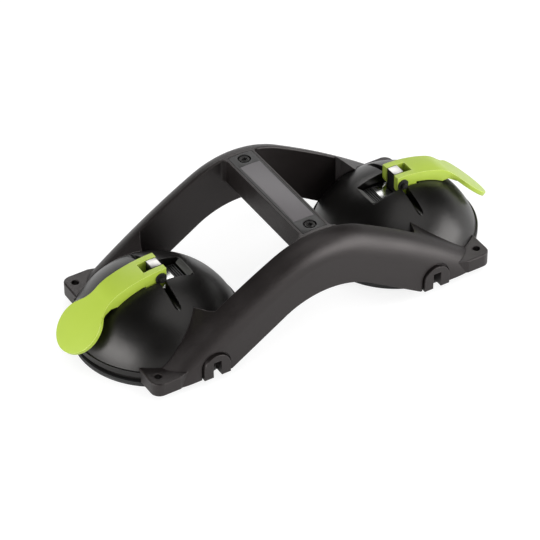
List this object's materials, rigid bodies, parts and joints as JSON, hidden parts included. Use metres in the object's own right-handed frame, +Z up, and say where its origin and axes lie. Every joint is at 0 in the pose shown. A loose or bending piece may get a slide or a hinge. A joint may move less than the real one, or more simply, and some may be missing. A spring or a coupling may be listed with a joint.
{
  "type": "suction lifter",
  "caption": "Suction lifter for floor tiles: arched frame with a cross grip over rubber suction cups, each worked by a swing-up cam lever.",
  "frame": {"origin": "on the ground under the middle of the cross grip", "axes": "+X along the lifter from the left cup to the right cup, +Y across it towards the back rail, +Z up"},
  "size_m": [0.3522, 0.141, 0.0846],
  "materials": {
    "frame_plastic": "fine grained satin black",
    "cover_plastic": "fine grained matte black",
    "label": "smooth satin grey, bare",
    "bell_plastic": "fine grained satin black",
    "pad_rubber": "smooth matte",
    "lever_plastic": "satin lime green",
    "link_zinc": "pale satin die casting",
    "plate_steel": "zinc plated",
    "bearing_steel": "bright",
    "pin_steel": "bright",
    "ring_black": "black oxide",
    "spring_steel": "zinc plated",
    "screw_steel": "zinc plated",
    "brass": "knurled sleeve"
  },
  "bodies": {
    "root": {"frame": "frame_plastic", "handle_cover": "cover_plastic", "label_plate": "label", "handle_screws": "screw_steel", "handle_inserts": "brass", "left_bell": "bell_plastic", "left_bell_screws": "screw_steel", "left_suction_pad": "pad_rubber", "left_bearing_plate": "bearing_steel", "right_bell": "bell_plastic", "right_bell_screws": "screw_steel", "right_suction_pad": "pad_rubber", "right_bearing_plate": "bearing_steel"},
    "left_plunger": {"left_pressure_plate": "plate_steel", "left_pull_link": "link_zinc", "left_link_rivets": "plate_steel", "left_pivot_pin": "pin_steel", "left_pin_rings": "ring_black", "left_return_spring": "spring_steel"},
    "left_arm": {"left_lever": "lever_plastic"},
    "right_plunger": {"right_pressure_plate": "plate_steel", "right_pull_link": "link_zinc", "right_link_rivets": "plate_steel", "right_pivot_pin": "pin_steel", "right_pin_rings": "ring_black", "right_return_spring": "spring_steel"},
    "right_arm": {"right_lever": "lever_plastic"}
  },
  "joints": [
    {"name": "left_pull_slide", "type": "slide", "parent": "root", "child": "left_plunger", "axis": [0, 0, 1], "range_m": [-0.0053, 0], "deforming": ["left_suction_pad", "left_return_spring"]},
    {"name": "left_lever_hinge", "type": "hinge", "parent": "left_plunger", "child": "left_arm", "pos_m": [-0.1005, 0, 0.0553], "axis": [0, 1, 0], "range_deg": [0, 90]},
    {"name": "right_pull_slide", "type": "slide", "parent": "root", "child": "right_plunger", "axis": [0, 0, 1], "range_m": [-0.0053, 0], "deforming": ["right_suction_pad", "right_return_spring"]},
    {"name": "right_lever_hinge", "type": "hinge", "parent": "right_plunger", "child": "right_arm", "pos_m": [0.1005, 0, 0.0553], "axis": [0, -1, 0], "range_deg": [0, 90]}
  ],
  "couplings": [
    {"joint": "left_lever_hinge", "follows": "left_pull_slide", "rad_per_m": -296.37},
    {"joint": "right_lever_hinge", "follows": "right_pull_slide", "rad_per_m": -296.37}
  ]
}
